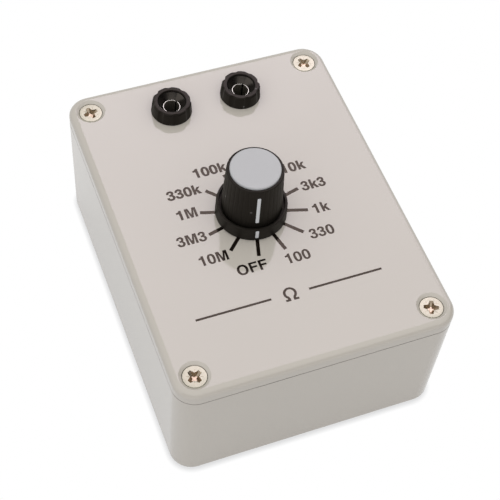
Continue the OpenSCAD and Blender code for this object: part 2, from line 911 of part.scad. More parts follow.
// Tapered knob with fine grip flutes, bored for the collet and recessed for its cap.
module knob_body() {
    rim_r = knob_rim_d / 2;
    foot_r = knob_foot_d / 2;
    section = [
        [spigot_inner_r, skirt_shelf], [spigot_r, skirt_shelf], [spigot_r, knob_seat],
        [foot_r - foot_round, knob_seat], [knob_side(knob_seat + foot_round), knob_seat + foot_round],
        [knob_side(knob_rim - rim_round), knob_rim - rim_round], [rim_r - rim_round, knob_rim],
        [cap_d / 2 + run_clear, knob_rim], [cap_d / 2 + run_clear, cap_seat], [recess_r, cap_seat],
        [recess_r, web_z + web_t], [stud_r + run_clear, web_z + web_t], [stud_r + run_clear, web_z],
        [collet_r + run_clear, web_z], [collet_r + run_clear, chamber_top], [spigot_inner_r, chamber_top]
    ];
    tilt = atan((foot_r - rim_r) / (knob_rim - knob_seat));
    color(plastic_black)
        at_selector()
            translate([0, 0, lid_top])
                difference() {
                    rotate_extrude()
                        polygon(section);
                    for (i = [1 : flute_count - 1])
                        rotate(pointer_angle + i * 360 / flute_count)
                            translate([foot_r + flute_r - flute_depth, 0, knob_seat])
                                rotate([0, -tilt, 0])
                                    translate([0, 0, -cut])
                                        cylinder(h = knob_rim - knob_seat + 2 * cut, r = flute_r);
                    line_strip(seat_clear);
                }
}

// Skirt that hides the bush nut and carries the knob's short pointer mark.
module knob_skirt() {
    lip_r = knob_foot_d / 2 + groove_w;
    section = [
        [skirt_inner_r, skirt_gap], [skirt_d / 2, skirt_gap],
        [skirt_side(skirt_top - foot_round), skirt_top - foot_round],
        [skirt_top_d / 2 - foot_round, skirt_top], [lip_r, skirt_top], [lip_r, knob_seat],
        [spigot_r + seat_clear, knob_seat], [spigot_r + seat_clear, skirt_shelf],
        [skirt_inner_r, skirt_shelf]
    ];
    color(plastic_black)
        at_selector()
            translate([0, 0, lid_top])
                difference() {
                    rotate_extrude()
                        polygon(section);
                    tick_strip(seat_clear);
                }
}

module knob_cap() {
    plug_r = recess_r - seat_clear;
    plug_t = 0.7;
    plug_h = 1.2;
    cap_edge = 0.25;
    section = [
        [0, cap_seat], [plug_r - plug_t, cap_seat], [plug_r - plug_t, cap_seat - plug_h],
        [plug_r, cap_seat - plug_h], [plug_r, cap_seat], [cap_d / 2, cap_seat],
        [cap_d / 2, knob_h - cap_edge], [cap_d / 2 - cap_edge, knob_h], [0, knob_h]
    ];
    color(cap_grey)
        at_selector()
            translate([0, 0, lid_top])
                rotate_extrude()
                    polygon(section);
}

module pointer_line() {
    color(pointer_white)
        at_selector()
            translate([0, 0, lid_top])
                line_strip(0);
}

module pointer_tick() {
    color(pointer_white)
        at_selector()
            translate([0, 0, lid_top])
                tick_strip(0);
}

base_case();
lid();
lid_screws();
socket_nuts();
for (s = SIDES) {
    socket_body(s);
    socket_sleeve(s);
}
switch_front();
bush_washer();
bush_nut();
switch_drum();
stop_ring();
contact_wafer();
common_contact();
for (i = [0 : POSITIONS - 1])
    contact_pin(i);
for (i = [0 : len(VALUES) - 1])
    resistor(i + 1);
bus_wire();
lead_left();
lead_right();
shaft();
rotor();
wiper();
detent_spring();
detent_balls();
collet();
collet_nut();
knob_body();
knob_skirt();
knob_cap();
pointer_line();
pointer_tick();
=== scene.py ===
import json
import math
import bmesh
import bpy
from mathutils import Matrix, Quaternion, Vector


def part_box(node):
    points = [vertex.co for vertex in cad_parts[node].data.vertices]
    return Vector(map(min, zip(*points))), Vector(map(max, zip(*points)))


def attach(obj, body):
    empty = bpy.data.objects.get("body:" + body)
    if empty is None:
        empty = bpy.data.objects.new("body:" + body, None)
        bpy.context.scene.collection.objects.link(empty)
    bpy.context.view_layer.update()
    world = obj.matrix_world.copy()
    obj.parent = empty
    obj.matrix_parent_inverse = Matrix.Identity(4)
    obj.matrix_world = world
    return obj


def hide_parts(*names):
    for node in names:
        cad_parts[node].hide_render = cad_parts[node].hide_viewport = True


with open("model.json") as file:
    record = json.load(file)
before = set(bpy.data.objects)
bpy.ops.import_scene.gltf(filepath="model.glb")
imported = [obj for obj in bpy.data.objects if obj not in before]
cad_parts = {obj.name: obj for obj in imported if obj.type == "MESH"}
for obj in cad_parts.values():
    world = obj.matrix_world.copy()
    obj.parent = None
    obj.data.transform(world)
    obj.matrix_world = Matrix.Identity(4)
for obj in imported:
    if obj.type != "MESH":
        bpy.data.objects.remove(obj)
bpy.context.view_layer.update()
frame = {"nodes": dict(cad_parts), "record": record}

# Base of the case: a deep shell moulded in light warm grey plastic, with slightly drafted walls
# and a rounded bottom edge. The four screw posts in its corners are moulded in one with the walls.
MM = 0.001
NEAR = 0.001
SHARP = math.radians(38)
corner_round = 6.1
corner_steps = 16
ring_steps = 64
wall = 2.2
floor_thick = 2.2
draft = 0.35
bottom_round = 1.7
bottom_steps = 8
seam = 0.16
seam_gap = 0.1
post_r = 4.3
post_inset = 6
pilot_r = 1.52
pilot_depth = 13.7
case_grey = (0.587, 0.534, 0.45, 1)


def span(node):
    """Lowest and highest corner of a CAD node, in millimetres."""
    low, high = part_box(node)
    return low / MM, high / MM


def rounded_slab(bm, width, length, low, high):
    """Closed block with rounded upright corners."""
    verts = bmesh.ops.create_grid(bm, x_segments=1, y_segments=1, size=0.5)["verts"]
    bmesh.ops.scale(bm, vec=(width, length, 1), verts=verts)
    bmesh.ops.translate(bm, vec=(0, 0, low), verts=verts)
    bmesh.ops.bevel(bm, geom=verts, offset=corner_round, offset_type="OFFSET", segments=corner_steps,
                    profile=0.5, affect="VERTICES", material=-1)
    raised = bmesh.ops.extrude_face_region(bm, geom=bm.faces[:])["geom"]
    raised = [g for g in raised if isinstance(g, bmesh.types.BMVert)]
    bmesh.ops.translate(bm, vec=(0, 0, high - low), verts=raised)


def level_edges(bm, height):
    """Edges that lie level at one height."""
    return [e for e in bm.edges if all(abs(v.co.z - height) < NEAR for v in e.verts)]


def round_over(bm, edges, size, steps):
    """Rounds a run of edges, or chamfers it with one step."""
    bmesh.ops.bevel(bm, geom=edges, offset=size, offset_type="OFFSET", segments=steps, profile=0.5,
                    affect="EDGES", material=-1)


def open_level(bm, height):
    """Takes away the flat faces at one height and gives the loop of edges left there."""
    flat = [f for f in bm.faces if all(abs(v.co.z - height) < NEAR for v in f.verts)]
    bmesh.ops.delete(bm, geom=flat, context="FACES")
    return level_edges(bm, height)


def ring(bm, centre, radius, height):
    """Level circle of edges."""
    place = Matrix.Translation((centre[0], centre[1], height))
    made = bmesh.ops.create_circle(bm, cap_ends=False, segments=ring_steps, radius=radius, matrix=place)
    verts = set(made["verts"])
    return [e for e in bm.edges if e.verts[0] in verts and e.verts[1] in verts]


def drop(bm, loop, height):
    """Upright walls from a loop of edges to another height, with the loop at their far end."""
    made = bmesh.ops.extrude_edge_only(bm, edges=loop)["geom"]
    far = {g for g in made if isinstance(g, bmesh.types.BMVert)}
    for vert in far:
        vert.co.z = height
    return [e for e in bm.edges if e.verts[0] in far and e.verts[1] in far]


def cover(bm, *loops):
    """Flat face between loops of edges, with the inner ones left open."""
    edges = [e for loop in loops for e in loop]
    bmesh.ops.triangle_fill(bm, use_beauty=True, use_dissolve=False, edges=edges, normal=(0, 0, 1))


def bay_outline(bm, half_w, half_l, post, height):
    """Loop of edges that follows the inside of the walls and steps round the four screw posts."""
    meet_y = math.sqrt(post ** 2 - (half_w - post_x) ** 2)
    meet_x = math.sqrt(post ** 2 - (half_l - post_y) ** 2)
    first = math.atan2(-meet_y, half_w - post_x)
    last = math.atan2(half_l - post_y, -meet_x)
    turn = math.tau - (last - first)
    before = set(bm.edges)
    ends = {}
    for sx, sy in corners:
        start = bm.verts.new((sx * half_w, sy * (post_y - meet_y), height))
        arc = bmesh.ops.spin(bm, geom=[start], cent=(sx * post_x, sy * post_y, height), axis=(0, 0, 1),
                             angle=-sx * sy * turn, steps=ring_steps // 2)
        ends[sx, sy] = start, [g for g in arc["geom_last"] if isinstance(g, bmesh.types.BMVert)][0]
    for side in (-1, 1):
        bm.edges.new((ends[side, -1][0], ends[side, 1][0]))
        bm.edges.new((ends[-1, side][1], ends[1, side][1]))
    return [e for e in bm.edges if e not in before]


def add(tree, kind, values=None, **settings):
    """Shader node with its input values and its settings."""
    node = tree.nodes.new("ShaderNode" + kind)
    for name, setting in settings.items():
        setattr(node, name, setting)
    for name, value in (values or {}).items():
        node.inputs[name].default_value = value
    return node


def new_group(name, takes, gives):
    """Empty node group with its sockets, its way in and its way out."""
    tree = bpy.data.node_groups.new(name, "ShaderNodeTree")
    for label, value in takes.items():
        kind = "NodeSocketColor" if isinstance(value, tuple) else "NodeSocketFloat"
        tree.interface.new_socket(name=label, in_out="INPUT", socket_type=kind).default_value = value
    for label, kind in gives.items():
        tree.interface.new_socket(name=label, in_out="OUTPUT", socket_type="NodeSocket" + kind)
    return tree, tree.nodes.new("NodeGroupInput"), tree.nodes.new("NodeGroupOutput")


def swing(tree, source, middle, reach):
    """Value that swings about a middle, by a reach, as a 0 to 1 pattern rises and falls."""
    centred = add(tree, "Math", {1: 0.5}, operation="SUBTRACT")
    tree.links.new(source, centred.inputs[0])
    swung = add(tree, "Math", operation="MULTIPLY_ADD")
    tree.links.new(centred.outputs[0], swung.inputs[0])
    tree.links.new(reach, swung.inputs[1])
    tree.links.new(middle, swung.inputs[2])
    return swung.outputs[0]


# The skin that every moulded or plated surface has: faint clouds in its colour, patches that are
# more or less glossy, and a fine grain in its height.
skin, way_in, way_out = new_group(
    "surface_skin",
    {"Colour": (1, 1, 1, 1), "Evenness": 1.0, "Clouding": 0.05, "Cloud scale": 30.0, "Roughness": 0.3,
     "Patchiness": 0.1, "Patch scale": 250.0, "Grain scale": 2500.0},
    {"Colour": "Color", "Roughness": "Float", "Height": "Float"},
)
where = add(skin, "TexCoord")
patterns = {}
for label, detail in (("Cloud", 2), ("Patch", 4), ("Grain", 2)):
    patterns[label] = add(skin, "TexNoise", {"Detail": detail, "Roughness": 0.55})
    skin.links.new(where.outputs["Object"], patterns[label].inputs["Vector"])
    skin.links.new(way_in.outputs[label + " scale"], patterns[label].inputs["Scale"])
tint = add(skin, "HueSaturation")
skin.links.new(way_in.outputs["Colour"], tint.inputs["Color"])
skin.links.new(
    swing(skin, patterns["Cloud"].outputs["Fac"], way_in.outputs["Evenness"], way_in.outputs["Clouding"]),
    tint.inputs["Value"])
skin.links.new(tint.outputs["Color"], way_out.inputs["Colour"])
skin.links.new(
    swing(skin, patterns["Patch"].outputs["Fac"], way_in.outputs["Roughness"],
          way_in.outputs["Patchiness"]),
    way_out.inputs["Roughness"])
skin.links.new(patterns["Grain"].outputs["Fac"], way_out.inputs["Height"])


def skinned(name, colour, grain_depth, shader_values=None, **skin_values):
    """Material whose colour, gloss and grain come from the surface skin."""
    finish = bpy.data.materials.new(name)
    finish.use_nodes = True
    tree = finish.node_tree
    shader = tree.nodes["Principled BSDF"]
    for label, value in (shader_values or {}).items():
        shader.inputs[label].default_value = value
    coat = add(tree, "Group", node_tree=skin)
    coat.name = "skin"
    coat.inputs["Colour"].default_value = colour
    for label, value in skin_values.items():
        coat.inputs[label.replace("_", " ")].default_value = value
    bump = add(tree, "Bump", {"Strength": 1.0, "Distance": grain_depth * MM})
    tree.links.new(coat.outputs["Height"], bump.inputs["Height"])
    tree.links.new(bump.outputs["Normal"], shader.inputs["Normal"])
    tree.links.new(coat.outputs["Colour"], shader.inputs["Base Color"])
    tree.links.new(coat.outputs["Roughness"], shader.inputs["Roughness"])
    return finish


def piece(bm, name, body, nodes, slot, *finishes):
    """Turns a bmesh drawn in millimetres into a finished object that rides on its body."""
    bmesh.ops.remove_doubles(bm, verts=bm.verts[:], dist=NEAR / 10)
    bmesh.ops.recalc_face_normals(bm, faces=bm.faces[:])
    bmesh.ops.scale(bm, vec=(MM, MM, MM), verts=bm.verts[:])
    for face in bm.faces:
        face.smooth = True
    for edge in bm.edges:
        edge.smooth = len(edge.link_faces) == 2 and edge.calc_face_angle() < SHARP
    mesh = bpy.data.meshes.new(name)
    bm.to_mesh(mesh)
    bm.free()
    for finish in finishes:
        mesh.materials.append(finish)
    obj = bpy.data.objects.new(name, mesh)
    bpy.context.scene.collection.objects.link(obj)
    shading = obj.modifiers.new("even_shading", "WEIGHTED_NORMAL")
    shading.keep_sharp = True
    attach(obj, body)
    if nodes:
        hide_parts(*nodes)


def paint_seam_shade(bm):
    """Gives the narrow faces along the parting of the case their second finish, which is painted shade in
    the seam with some grime.
    """
    for face in bm.faces:
        if all(abs(v.co.z - parting) < seam + NEAR for v in face.verts):
            face.material_index = 1


base_low, base_high = span("base_case")
case_w = base_high.x - base_low.x
case_l = base_high.y - base_low.y
parting = base_high.z
post_x = case_w / 2 - post_inset
post_y = case_l / 2 - post_inset
corners = [(sx, sy) for sx in (-1, 1) for sy in (-1, 1)]
bm = bmesh.new()
rounded_slab(bm, case_w, case_l, base_low.z, parting)
foot = [v for v in bm.verts if abs(v.co.z - base_low.z) < NEAR]
bmesh.ops.scale(bm, vec=(1 - 2 * draft / case_w, 1 - 2 * draft / case_l, 1), verts=foot)
round_over(bm, level_edges(bm, base_low.z), bottom_round, bottom_steps)
round_over(bm, level_edges(bm, parting), seam, 1)
rim = open_level(bm, parting)
bay = bay_outline(bm, case_w / 2 - wall, case_l / 2 - wall, post_r, parting)
pilots = [ring(bm, (sx * post_x, sy * post_y), pilot_r, parting) for sx, sy in corners]
cover(bm, rim, bay, *pilots)
cover(bm, drop(bm, bay, base_low.z + floor_thick))
for pilot in pilots:
    cover(bm, drop(bm, pilot, parting - pilot_depth))
case_plastic = skinned("case_plastic", case_grey, 0.0006, {"Specular IOR Level": 0.46}, Clouding=0.05,
                       Cloud_scale=22, Roughness=0.07, Patchiness=0.05, Patch_scale=180, Grain_scale=1800)
# The seam's finish is painted shade for the gap between lid and base, with some grime, clouded unevenly
# along it.
seam_shade_and_grime = skinned("seam_shade_and_grime", (0.27, 0.24, 0.2, 1), 0.002, Clouding=1.6, Cloud_scale=30,
                     Roughness=0.6, Patchiness=0.2, Patch_scale=400, Grain_scale=1800)
paint_seam_shade(bm)
piece(bm, "case_base", "case", ["base_case"], "case_plastic", case_plastic, seam_shade_and_grime)

# Lid: a moulded plate with a full round along its top edge and a locating lip under it that steps
# round the posts. It is counterbored at the corners and holed for the sockets and the switch's bush.
lid_plate = 2.5
lid_round = 1.85
lid_round_steps = 10
lip_depth = 1.8
lip_thick = 1.4
lip_clear = 0.15
bore_r = 3.25
flare_w = 0.82
flare_deep = 0.62
flare_edge = 0.06
head_high = 2
screw_hole_r = 1.7
socket_hole_r = 4.1
bush_hole_r = 4.85
peg_hole_r = 1.3
peg_hole_depth = 1.3
peg_reach = 10.5


def centre_of(node):
    """Middle of a CAD node's box, in millimetres."""
    low, high = span(node)
    return (low + high) / 2


def away(vert, centre):
    """Distance of a vertex from an upright axis."""
    return math.hypot(vert.co.x - centre[0], vert.co.y - centre[1])


def bore(bm, centre, steps_down):
    """Open turned hole that goes down through points of radius and height; gives its end loops."""
    verts = [bm.verts.new((centre[0] + r, centre[1], z)) for r, z in steps_down]
    edges = [bm.edges.new(pair) for pair in zip(verts, verts[1:])]
    start, end = verts[0], verts[-1]
    bmesh.ops.spin(bm, geom=verts + edges, cent=(*centre, 0), axis=(0, 0, 1), angle=math.tau,
                   steps=ring_steps, use_merge=True)
    loops = []
    for vert in (start, end):
        reach = away(vert, centre)
        loops.append([e for e in level_edges(bm, vert.co.z)
                      if all(abs(away(v, centre) - reach) < NEAR for v in e.verts)])
    return loops


lid_top = span("lid")[1].z
lid_under = lid_top - lid_plate
head_seat = span("lid_screws")[1].z - head_high
sockets = {side: centre_of("socket_body_" + side) for side in ("left", "right")}
selector = centre_of("shaft")
bm = bmesh.new()
rounded_slab(bm, case_w, case_l, parting, lid_top)
round_over(bm, level_edges(bm, lid_top), lid_round, lid_round_steps)
round_over(bm, level_edges(bm, parting), seam, 1)
top_loops = [open_level(bm, lid_top)]
low_loops = [open_level(bm, parting)]
for edge in low_loops[0]:
    for vert in edge.verts:
        vert.co.z = parting + seam_gap
half_w = case_w / 2 - wall - lip_clear
half_l = case_l / 2 - wall - lip_clear
flare = [(bore_r + flare_w, lid_top), (bore_r + flare_w - flare_edge, lid_top - flare_edge / 2),
         (bore_r + flare_edge, lid_top - flare_deep), (bore_r, lid_top - flare_deep - flare_edge)]
for sx, sy in corners:
    upper, lower = bore(bm, (sx * post_x, sy * post_y), flare + [
        (bore_r, head_seat), (screw_hole_r, head_seat), (screw_hole_r, parting)])
    top_loops.append(upper)
    low_loops.append(lower)
ceiling = []
for centre, radius in ((sockets["left"], socket_hole_r), (sockets["right"], socket_hole_r),
                       (selector, bush_hole_r)):
    upper, lower = bore(bm, centre.xy, [(radius, lid_top), (radius, lid_under)])
    top_loops.append(upper)
    ceiling.append(lower)
peg_hole = ring(bm, (selector.x, selector.y + peg_reach), peg_hole_r, lid_under)
lip = bay_outline(bm, half_w, half_l, post_r + lip_clear, parting)
cover(bm, *top_loops)
cover(bm, lip, *low_loops)
lip_foot = drop(bm, lip, parting - lip_depth)
inner = bay_outline(bm, half_w - lip_thick, half_l - lip_thick, post_r + lip_clear + lip_thick,
                    parting - lip_depth)
cover(bm, lip_foot, inner)
cover(bm, drop(bm, inner, lid_under), peg_hole, *ceiling)
cover(bm, drop(bm, peg_hole, lid_under + peg_hole_depth))
paint_seam_shade(bm)
piece(bm, "case_lid", "case", ["lid"], "case_plastic", case_plastic, seam_shade_and_grime)

# Printed dial: a thin layer of black ink on the lid, with a tick and a value for each of the twelve
# places of the selector, and the sign for ohms between two rules near the front edge.
dial_at = (-0.78, -2.1)
type_size = 4.233
letter_units = 1000
arc_step = 7.5
ink_top = 0.015
ink_under = 0.005
ink_spread = 0.062
ink_lean = 0.0016
tick_w = 0.88
tick_from = 8.6
tick_to = 14.35
first_tick = -105.7
tick_step = 30
sign_at = (-1.2, -29.4)
sign_size = 5.6
rule_w = 0.6
rule_from = 5.2
rule_to = 25.5
labels = {
    "OFF": (-6.82, -16.65), "10M": (-15.32, -10.9), "3M3": (-18.77, -3.5), "1M": (-17.32, 4.6),
    "330k": (-15.92, 11.5), "100k": (-6.82, 16.6), "33k": (5.98, 16.6), "10k": (15.18, 11.0),
    "3k3": (18.48, 3.9), "1k": (17.33, -4.15), "330": (14.68, -11.5), "100": (5.68, -17.0),
}


def arc(cx, cy, rx, ry, first, last, power=2.0):
    """Points along part of an oval, squarer than an ellipse where the power is over 2."""
    points = []
    steps = max(8, round(abs(last - first) / arc_step))
    for i in range(steps + 1):
        a = math.radians(first + (last - first) * i / steps)
        x, y = math.cos(a), math.sin(a)
        points.append((cx + rx * math.copysign(abs(x) ** (2 / power), x),
                       cy + ry * math.copysign(abs(y) ** (2 / power), y)))
    return points


def oval(cx, cy, rx, ry, side, bar, power):
    """Outer and inner outline of a round letter."""
    last = 360 - arc_step
    return [arc(cx, cy, rx, ry, 0, last, power), arc(cx, cy, rx - side, ry - bar, 0, last, power)]


# Bold plain letter shapes, drawn in letter units: how far each advances, and its outlines.
letters = {
    "0": (556, oval(278, 345, 246, 365, 140, 108, 2.4)),
    "1": (556, [[(378, 0), (378, 710), (266, 710)] + arc(69, 710, 190, 120, 345, 270)
                + [(69, 490), (238, 490), (238, 0)]]),
    "3": (556, [arc(268, 528, 215, 182, 187, -38) + arc(270, 190, 246, 209, 52, -187)
                + arc(270, 202, 116, 113, -183, 88) + [(205, 316), (205, 420)]
                + arc(262, 511, 90, 91, -88, 183)]),
    "F": (611, [[(76, 0), (216, 0), (216, 312), (540, 312), (540, 430), (216, 430), (216, 600),
                 (587, 600), (587, 718), (76, 718)]]),
    "M": (833, [[(69, 0), (202, 0), (202, 565), (345, 0), (489, 0), (632, 565), (632, 0), (765, 0),
                 (765, 718), (561, 718), (417, 205), (273, 718), (69, 718)]]),
    "O": (778, oval(389, 359, 345, 378, 150, 122, 2.1)),
    "k": (556, [[(69, 0), (209, 0), (209, 170), (264, 227), (400, 0), (562, 0), (361, 322), (547, 524),
                 (382, 524), (209, 320), (209, 718), (69, 718)]]),
    "ohm": (700, [[(420, 0), (665, 0), (665, 105), (540, 105)] + arc(350, 405, 320, 313, -52, 232)
                  + [(160, 105), (35, 105), (35, 0), (280, 0), (280, 130)]
                  + arc(350, 405, 200, 208, 238, -58) + [(420, 130)]]),
}
cap_middle = 355


def spread(outline, reach):
    """Outline moved outwards by a reach, or inwards by a negative one, as wet ink creeps."""
    points = [Vector(point) for point in outline]
    ahead = points[1:] + points[:1]
    area = sum(a.x * b.y - b.x * a.y for a, b in zip(points, ahead))
    moved = []
    for before, here, after in zip(points[-1:] + points[:-1], points, ahead):
        one = (here - before).normalized()
        two = (after - here).normalized()
        out = Vector((one.y + two.y, -one.x - two.x))
        moved.append(here + out * math.copysign(reach, area * reach) / max(1 + one.dot(two), 0.5))
    return moved


def strip(start, end, width):
    """Outline of a straight bar along the X axis."""
    return [(start, -width / 2), (end, -width / 2), (end, width / 2), (start, width / 2)]


def print_shape(bm, outlines, place):
    """Plate of ink with an outer outline and its holes, put in its place by a matrix."""
    loops = []
    creep = ink_spread + ink_lean * place.translation.y
    for i, outline in enumerate(outlines):
        grown = spread(outline, -creep if i else creep)
        verts = [bm.verts.new(place @ Vector((x, y, lid_top + ink_top))) for x, y in grown]
        loops.append([bm.edges.new((verts[i - 1], verts[i])) for i in range(len(verts))])
    cover(bm, *loops)
    for loop in loops:
        loop[:] = drop(bm, loop, lid_top - ink_under)
    cover(bm, *loops)


def print_word(bm, word, centre, size):
    """Letters set in a row about a centre."""
    width = sum(letters[letter][0] for letter in word)
    pen = -width / 2
    for letter in word:
        advance, outlines = letters[letter]
        scale = size / letter_units
        moved = [[((x + pen) * scale, (y - cap_middle) * scale) for x, y in points] for points in outlines]
        print_shape(bm, moved, Matrix.Translation((centre[0], centre[1], 0)))
        pen += advance


bm = bmesh.new()
for i in range(len(labels)):
    about = Matrix.Translation((*dial_at, 0))
    turned_by = Matrix.Rotation(math.radians(first_tick - i * tick_step), 4, "Z")
    print_shape(bm, [strip(tick_from, tick_to, tick_w)], about @ turned_by)
for word, place in labels.items():
    print_word(bm, word, (dial_at[0] + place[0], dial_at[1] + place[1]), type_size)
print_word(bm, ["ohm"], sign_at, sign_size)
for side in (-1, 1):
    print_shape(bm, [strip(side * rule_from, side * rule_to, rule_w)], Matrix.Translation((*sign_at, 0)))
ink = skinned("dial_ink", (0.008, 0.005, 0.0035, 1), 0.001,
              {"Specular IOR Level": 0.31, "Specular Tint": (1.0, 0.87, 0.66, 1)}, Clouding=0.4,
              Cloud_scale=400, Roughness=0.12, Patchiness=0.08, Patch_scale=900, Grain_scale=3000)
piece(bm, "dial_legend", "case", [], "black_plastic", ink)

# Lid screws: four nickel-plated steel screws with flat pan heads, driven down into the posts. Each
# head has a cross recess with a widened middle and four short marks struck between its arms.
head_r = 3.15
head_edge = 0.15
shank_r = 1.5
shank_long = 14
tip_r = 0.35
point_long = 1.2
thread_pitch = 1.3
thread_deep = 0.32
cross_reach = 2.0
cross_half = 0.47
cross_waist = 0.8
cross_depth = 1.05
cross_taper = 0.4
mark_from = 1.35
mark_to = 2.15
mark_w = 0.1
mark_depth = 0.05
mark_taper = 0.8
screw_turns = {(-1, -1): 28, (1, -1): 66, (-1, 1): 13, (1, 1): 24}


def turned(bm, outline, steps):
    """Closed outline of radius, height and rounding, spun round the Z axis into a solid."""
    before = set(bm.verts)
    verts = [bm.verts.new((point[0], 0, point[1])) for point in outline]
    bm.faces.new(verts)
    for vert, point in zip(verts, outline):
        if len(point) == 3:
            bmesh.ops.bevel(bm, geom=[vert], offset=point[2], offset_type="OFFSET", segments=5,
                            profile=0.5, affect="VERTICES", material=-1)
    made = [v for v in bm.verts if v not in before]
    flat = [f for f in bm.faces if all(v in made for v in f.verts)]
    bmesh.ops.delete(bm, geom=flat, context="FACES_ONLY")
    edges = list(dict.fromkeys(e for v in made for e in v.link_edges))
    on_axis = [e for e in edges if all(v.co.x < NEAR for v in e.verts)]
    bmesh.ops.delete(bm, geom=on_axis, context="EDGES_FACES")
    profile = [e for e in edges if e.is_valid]
    bmesh.ops.spin(bm, geom=made + profile, cent=(0, 0, 0), axis=(0, 0, 1), angle=math.tau, steps=steps,
                   use_merge=True)
    spun = [v for v in bm.verts if v not in before]
    bmesh.ops.remove_doubles(bm, verts=spun, dist=NEAR / 10)


def sink(bm, points, height, depth, taper):
    """Outline cut into a level face, with walls that lean in to a floor; gives its upper loop."""
    verts = [bm.verts.new((x, y, height)) for x, y in points]
    loop = [bm.edges.new((verts[i - 1], verts[i])) for i in range(len(verts))]
    low = drop(bm, loop, height - depth)
    floor = list(dict.fromkeys(v for e in low for v in e.verts))
    middle = sum((v.co for v in floor), Vector()) / len(floor)
    bmesh.ops.scale(bm, vec=(taper, taper, 1), verts=floor, space=Matrix.Translation(-middle))
    cover(bm, low)
    return loop


screws = bmesh.new()
for corner in corners:
    bm = bmesh.new()
    thread = []
    height = -shank_long + point_long
    while height < -thread_pitch:
        thread += [(shank_r - thread_deep, height), (shank_r, height + thread_pitch / 2)]
        height += thread_pitch
    turned(bm, [(0, -shank_long), (tip_r, -shank_long)] + thread
           + [(shank_r - thread_deep, 0), (head_r, 0, head_edge), (head_r, head_high, head_edge),
              (0, head_high)], ring_steps)
    rim = open_level(bm, head_high)
    arm = [(cross_reach, -cross_half), (cross_reach, cross_half), (cross_waist, cross_waist)]
    cross = [Matrix.Rotation(math.radians(90 * i), 2) @ Vector(p) for i in range(4) for p in arm]
    recess = [sink(bm, cross, head_high, cross_depth, cross_taper)]
    mark = strip(mark_from, mark_to, mark_w)
    for i in range(4):
        aslant = Matrix.Rotation(math.radians(45 + 90 * i), 2)
        recess.append(sink(bm, [aslant @ Vector(p) for p in mark], head_high, mark_depth, mark_taper))
    cover(bm, rim, *recess)
    for face in bm.faces:
        level = face.calc_center_median()
        sunk = head_high - cross_depth - NEAR < level.z < head_high - NEAR
        if sunk and math.hypot(level.x, level.y) < cross_reach:
            face.material_index = 1
    turn = Matrix.Rotation(math.radians(screw_turns[corner]), 4, "Z")
    shift = Matrix.Translation((corner[0] * post_x, corner[1] * post_y, head_seat))
    bmesh.ops.transform(bm, matrix=shift @ turn, verts=bm.verts[:])
    one = bpy.data.meshes.new("one_screw")
    bm.to_mesh(one)
    bm.free()
    screws.from_mesh(one)
    bpy.data.meshes.remove(one)
nickel = skinned("nickel_plate", (0.43, 0.416, 0.33, 1), 0.002, {"Metallic": 1.0}, Clouding=0.12,
                 Cloud_scale=300, Roughness=0.46, Patchiness=0.16, Patch_scale=1200, Grain_scale=4000)
tarnish = skinned("tarnished_recess", (0.4, 0.325, 0.24, 1), 0.06, {"Metallic": 1.0}, Clouding=1.3,
                  Cloud_scale=1100, Roughness=0.24, Patchiness=0.4, Patch_scale=1500, Grain_scale=2500)
piece(screws, "lid_screw_set", "case", ["lid_screws"], "plated_steel", nickel, tarnish)

# Sockets: black moulded heads with a wide mouth and eight finger notches, each on a barrel that goes
# down through the lid to its nut. A slit spring sleeve of plated brass stands in each one.
barrel_r = 4.0
barrel_long = 13
socket_steps = 256
notch_r = 1.3
notch_count = 8
notch_top = (6.1, 4.0)
notch_foot = (7.0, 0.5)
notch_low = 0.2
notch_turn = {"left": 37, "right": 44}
sleeve_r = 2.45
sleeve_bore = 2.0
sleeve_floor = 13.5
tail_web = 1.5
tail_solid = 1.5
tail_r = 1.5
tail_bore = 0.8
cup_deep = 2
slit_long = 9.5
sleeve_steps = 56
slit_half = 360 / sleeve_steps
slit_from = 1.9
slit_turn = {"left": 37, "right": 54}
wall_top = 3.6
wall_from = 4.4
mouth_r = 3.92
throat_r = 2.36
barrel_bore = 2.47
socket_high = 4.0
sleeve_edge = 2.23
black_moulding = (0.0098, 0.0082, 0.0062, 1)
warm_gloss = (1.0, 0.88, 0.76, 1)
speck_edge = (0.16, 0.3)


def scoop(verts, count, first, cutter, reach_at, bare=None):
    """Presses evenly spaced round grooves into a turned wall, as if cut by upright cylinders."""
    step = math.tau / count
    for vert in verts:
        radius = math.hypot(vert.co.x, vert.co.y)
        angle = math.atan2(vert.co.y, vert.co.x)
        place = round((angle - first) / step)
        if place % count == bare:
            continue
        off = angle - first - place * step
        reach = reach_at(vert.co.z)
        aside = reach * math.sin(off)
        if abs(aside) < cutter and math.cos(off) > 0:
            groove = reach * math.cos(off) - math.sqrt(cutter ** 2 - aside ** 2)
            if radius > groove:
                vert.co.x *= groove / radius
                vert.co.y *= groove / radius


def notch_reach(height):
    """Distance of a notch's leaning axis from the socket's axis."""
    share = (height - notch_foot[1]) / (notch_top[1] - notch_foot[1])
    return notch_foot[0] + (notch_top[0] - notch_foot[0]) * share


def ramp(tree, source, low, high, at_low=0.0, at_high=1.0):
    """Value that goes from one end to the other while a source rises from low to high."""
    node = add(tree, "MapRange", {"From Min": low, "From Max": high, "To Min": at_low, "To Max": at_high})
    tree.links.new(source, node.inputs["Value"])
    return node.outputs["Result"]


def combined(tree, operation, one, two):
    """Two values brought together by one step of arithmetic."""
    node = add(tree, "Math", operation=operation)
    tree.links.new(one, node.inputs[0])
    tree.links.new(two, node.inputs[1])
    return node.outputs[0]


